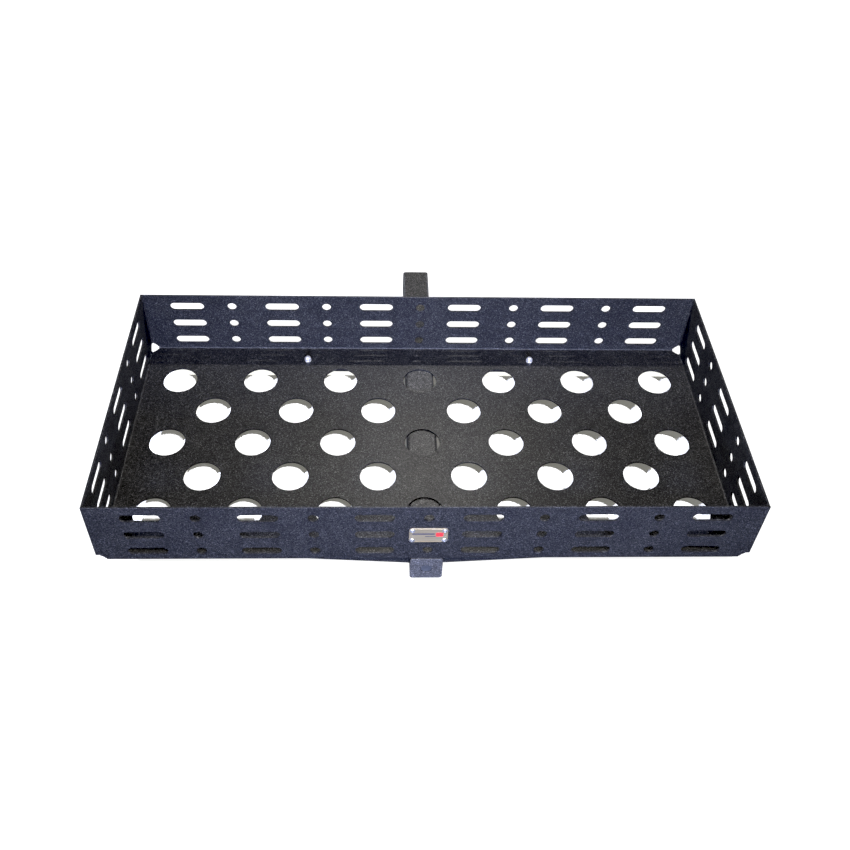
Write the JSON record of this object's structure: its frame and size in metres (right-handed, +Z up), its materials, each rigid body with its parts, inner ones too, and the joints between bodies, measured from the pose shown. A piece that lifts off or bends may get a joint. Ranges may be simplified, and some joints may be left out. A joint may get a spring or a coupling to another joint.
{
  "type": "hitch cargo carrier",
  "caption": "Perforated sheet-steel cargo tray with slotted walls, bolted to brace arms on a square hitch tube that slides into a vehicle's receiver.",
  "frame": {"origin": "centre of the hitch pin hole, in the middle of the hitch tube", "axes": "+Z up, +Y along the hitch tube towards the vehicle, X across the tray's width; the badge side of the tray faces -Y"},
  "size_m": [1, 0.7074, 0.1808],
  "materials": {
    "powder_coat": "black fine-textured powder coat",
    "zinc_hardware": "bright zinc-plated steel",
    "nylon": "natural nylon",
    "badge_metal": "fine brushed, warm silver",
    "rivet_aluminium": "bright aluminium",
    "plug_plastic": "smooth dark plastic, slightly glossy"
  },
  "bodies": {
    "root": {"badge_plate": "badge_metal", "badge_rivet_1": "rivet_aluminium", "badge_rivet_2": "rivet_aluminium", "badge_rivet_3": "rivet_aluminium", "badge_rivet_4": "rivet_aluminium", "brace_front_left": "powder_coat", "brace_front_right": "powder_coat", "brace_rear_left": "powder_coat", "brace_rear_right": "powder_coat", "brace_weld_front_left": "powder_coat", "brace_weld_front_right": "powder_coat", "brace_weld_rear_left": "powder_coat", "brace_weld_rear_right": "powder_coat", "cap_hole_plug": "plug_plastic", "corner_weld_front_left": "powder_coat", "corner_weld_front_right": "powder_coat", "corner_weld_rear_left": "powder_coat", "corner_weld_rear_right": "powder_coat", "end_cap_weld": "powder_coat", "hitch_tube": "powder_coat", "lock_nut_front_left": "zinc_hardware", "lock_nut_front_right": "zinc_hardware", "lock_nut_rear_left": "zinc_hardware", "lock_nut_rear_right": "zinc_hardware", "lower_washer_front_left": "zinc_hardware", "lower_washer_front_right": "zinc_hardware", "lower_washer_rear_left": "zinc_hardware", "lower_washer_rear_right": "zinc_hardware", "nylon_ring_front_left": "nylon", "nylon_ring_front_right": "nylon", "nylon_ring_rear_left": "nylon", "nylon_ring_rear_right": "nylon", "tray_bolt_front_left": "zinc_hardware", "tray_bolt_front_right": "zinc_hardware", "tray_bolt_rear_left": "zinc_hardware", "tray_bolt_rear_right": "zinc_hardware", "tray_sheet": "powder_coat", "tube_end_cap": "powder_coat", "upper_washer_front_left": "zinc_hardware", "upper_washer_front_right": "zinc_hardware", "upper_washer_rear_left": "zinc_hardware", "upper_washer_rear_right": "zinc_hardware"}
  },
  "joints": []
}
